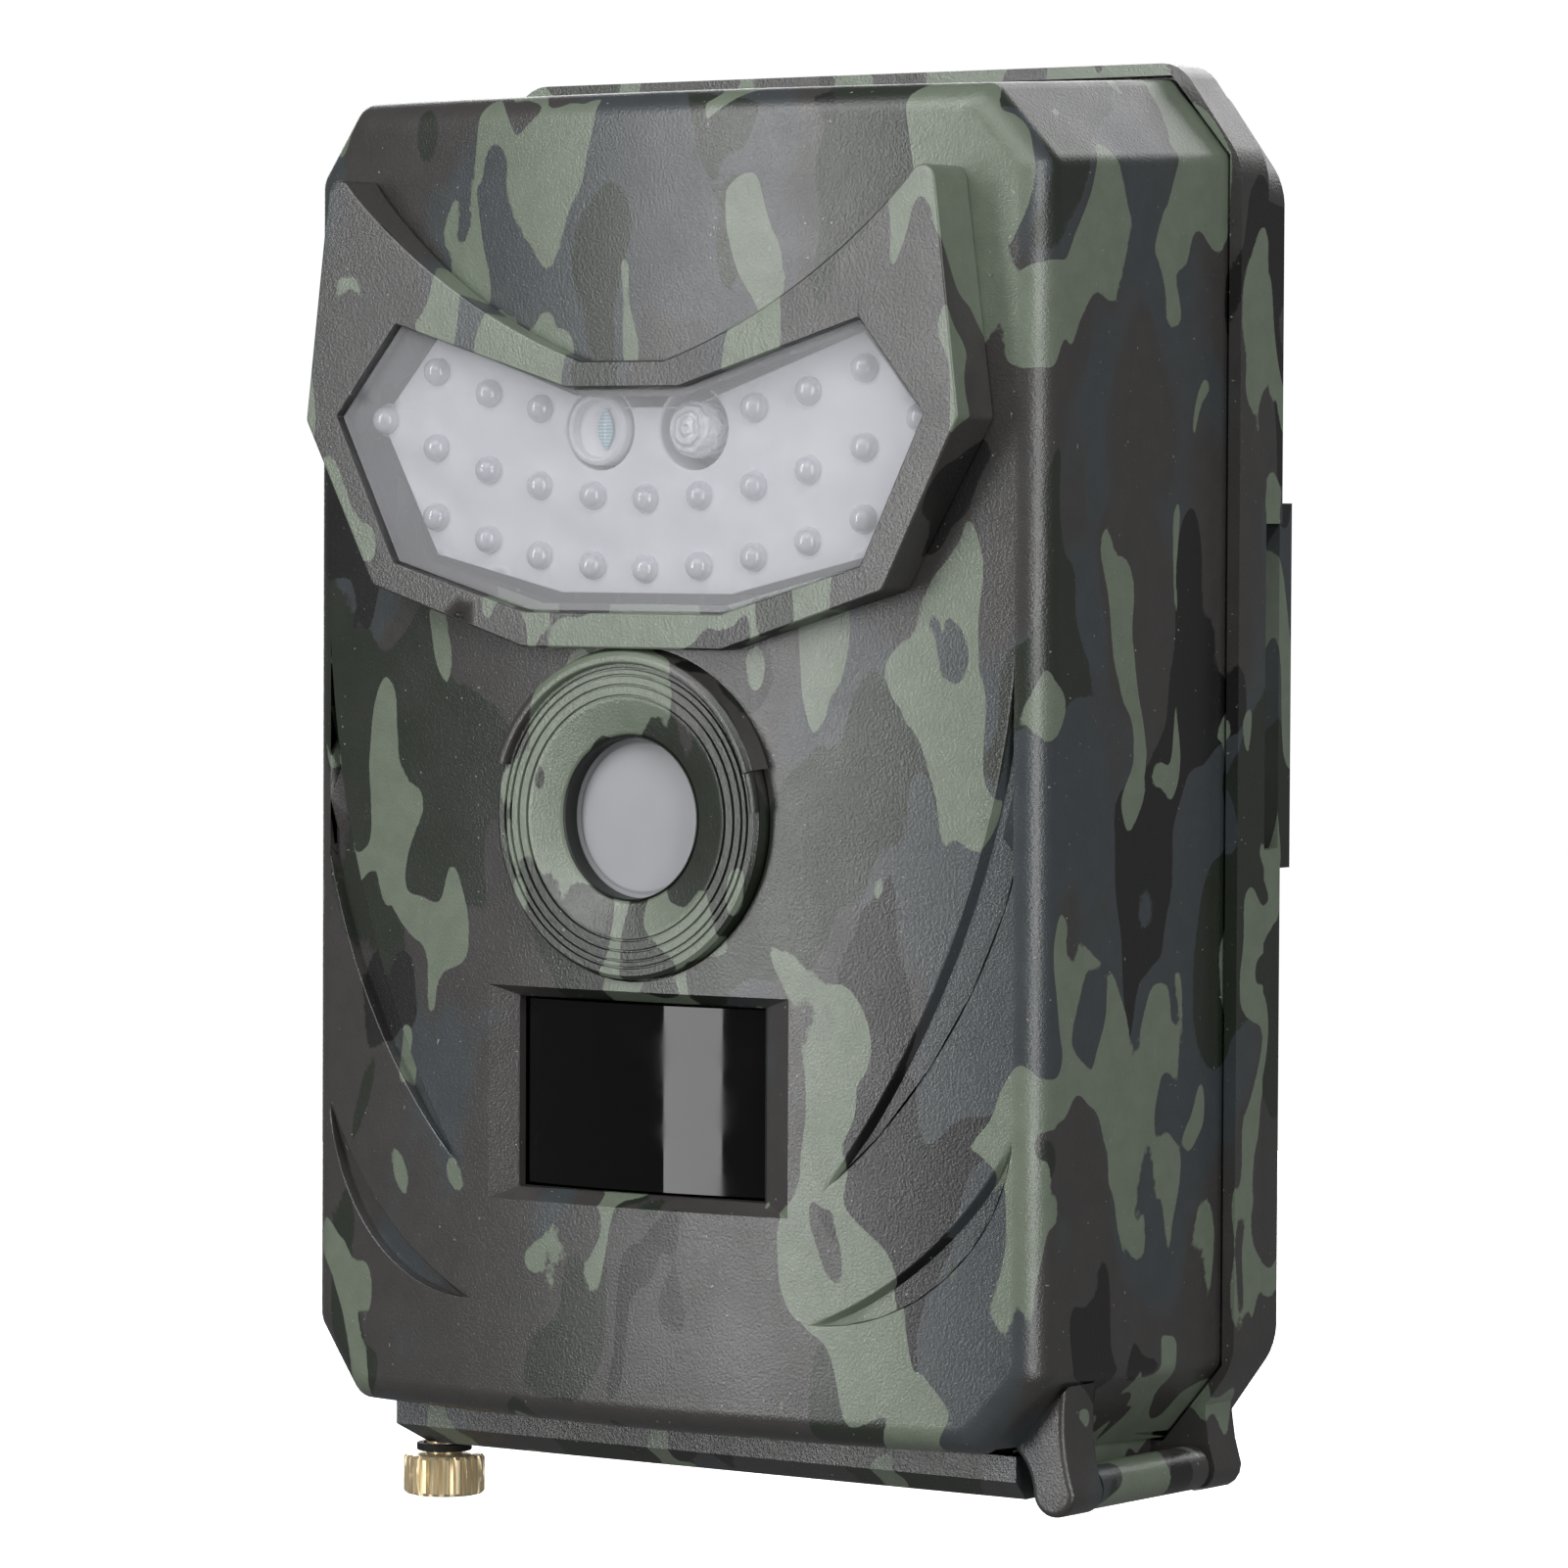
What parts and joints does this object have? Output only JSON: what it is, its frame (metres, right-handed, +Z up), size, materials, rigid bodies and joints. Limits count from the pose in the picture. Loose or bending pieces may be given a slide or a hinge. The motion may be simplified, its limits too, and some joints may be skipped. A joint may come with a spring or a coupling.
{
  "type": "trail camera",
  "caption": "Upright weatherproof trail camera with an infrared flash behind a mask, lens, motion sensor, strap bars and a hinged bottom door.",
  "frame": {"origin": "middle of the strap seat on the back of the case, where the strap that holds the camera bears", "axes": "+X to the viewer's right when facing the camera's front, +Y backwards towards the tree, +Z up"},
  "size_m": [0.0986, 0.0534, 0.1514],
  "materials": {
    "camo_case": "matte moulded plastic with a printed woodland camouflage film in sage, olive, slate grey, brown grey and black",
    "frosted_window": "pale frosted translucent plastic",
    "led_epoxy": "clear moulded epoxy",
    "circuit_board": "solder mask over glass fibre",
    "black_plastic": "fine satin moulded plastic",
    "grey_plastic": "satin moulded plastic",
    "optical_glass": "coated optical glass",
    "black_gloss": "high gloss infrared pass plastic",
    "steel": "plated steel",
    "brass": "turned and knurled brass",
    "rubber": "soft black silicone rubber",
    "cell_wrap": "plain printed shrink sleeve"
  },
  "bodies": {
    "case": {"front_shell": "camo_case", "rear_shell": "camo_case", "flash_mask": "camo_case", "lens_ring": "camo_case", "flash_window": "frosted_window", "lens_cover": "frosted_window", "flash_led_array": "led_epoxy", "status_light_guide": "led_epoxy", "flash_board": "circuit_board", "main_board": "circuit_board", "control_board": "circuit_board", "light_sensor": "black_plastic", "lens_holder": "black_plastic", "lens_barrel": "black_plastic", "image_sensor": "black_plastic", "battery_bay": "black_plastic", "battery_cover": "black_plastic", "control_panel": "black_plastic", "flash_ribbon": "grey_plastic", "lens_glass": "optical_glass", "pir_lens": "black_gloss", "display": "black_gloss", "pir_sensor": "steel", "usb_port": "steel", "card_socket": "steel", "hinge_pin": "steel", "case_screw_1": "steel", "case_screw_2": "steel", "case_screw_3": "steel", "case_screw_4": "steel", "case_screw_5": "steel", "case_screw_6": "steel", "board_screw_1": "steel", "board_screw_2": "steel", "board_screw_3": "steel", "board_screw_4": "steel", "contact_left_lower": "steel", "contact_left_upper": "steel", "contact_right_lower": "steel", "contact_right_upper": "steel", "tripod_insert": "brass", "screw_insert": "brass", "lens_seal": "rubber", "case_gasket": "rubber", "battery_left_lower": "cell_wrap", "battery_left_upper": "cell_wrap", "battery_right_lower": "cell_wrap", "battery_right_upper": "cell_wrap"},
    "door": {"bottom_door": "camo_case", "door_gasket": "rubber"},
    "screw_carrier": {"screw_collar": "rubber"},
    "screw": {"thumb_screw": "brass"},
    "menu_key": {"menu_button": "grey_plastic"},
    "ok_key": {"ok_button": "grey_plastic"},
    "up_key": {"up_button": "grey_plastic"},
    "down_key": {"down_button": "grey_plastic"},
    "mode_slider": {"mode_switch": "grey_plastic"},
    "card": {"memory_card": "black_plastic"},
    "filter_slide": {"ir_cut_filter": "grey_plastic"}
  },
  "joints": [
    {"name": "door_hinge", "type": "hinge", "parent": "case", "child": "door", "pos_m": [0.0446, -0.018, -0.0803], "axis": [0, -1, 0], "range_deg": [0, 125]},
    {"name": "screw_travel", "type": "slide", "parent": "door", "child": "screw_carrier", "axis": [0, 0, -1], "range_m": [0, 0.0035]},
    {"name": "thumb_screw_turn", "type": "hinge", "parent": "screw_carrier", "child": "screw", "pos_m": [-0.0365, -0.0265, -0.083], "axis": [0, 0, -1], "range_deg": [0, 1801]},
    {"name": "menu_press", "type": "slide", "parent": "case", "child": "menu_key", "axis": [0, 0, 1], "range_m": [0, 0.0005], "stiffness_N_per_m": 800},
    {"name": "ok_press", "type": "slide", "parent": "case", "child": "ok_key", "axis": [0, 0, 1], "range_m": [0, 0.0005], "stiffness_N_per_m": 800},
    {"name": "up_press", "type": "slide", "parent": "case", "child": "up_key", "axis": [0, 0, 1], "range_m": [0, 0.0005], "stiffness_N_per_m": 800},
    {"name": "down_press", "type": "slide", "parent": "case", "child": "down_key", "axis": [0, 0, 1], "range_m": [0, 0.0005], "stiffness_N_per_m": 800},
    {"name": "mode_switch_slide", "type": "slide", "parent": "case", "child": "mode_slider", "axis": [1, 0, 0], "range_m": [0, 0.0038]},
    {"name": "card_push", "type": "slide", "parent": "case", "child": "card", "axis": [0, 0, 1], "range_m": [0, 0.0006], "stiffness_N_per_m": 500},
    {"name": "filter_shift", "type": "slide", "parent": "case", "child": "filter_slide", "axis": [1, 0, 0], "range_m": [0, 0.006]}
  ],
  "couplings": [
    {"joint": "thumb_screw_turn", "follows": "screw_travel", "rad_per_m": 8976}
  ]
}
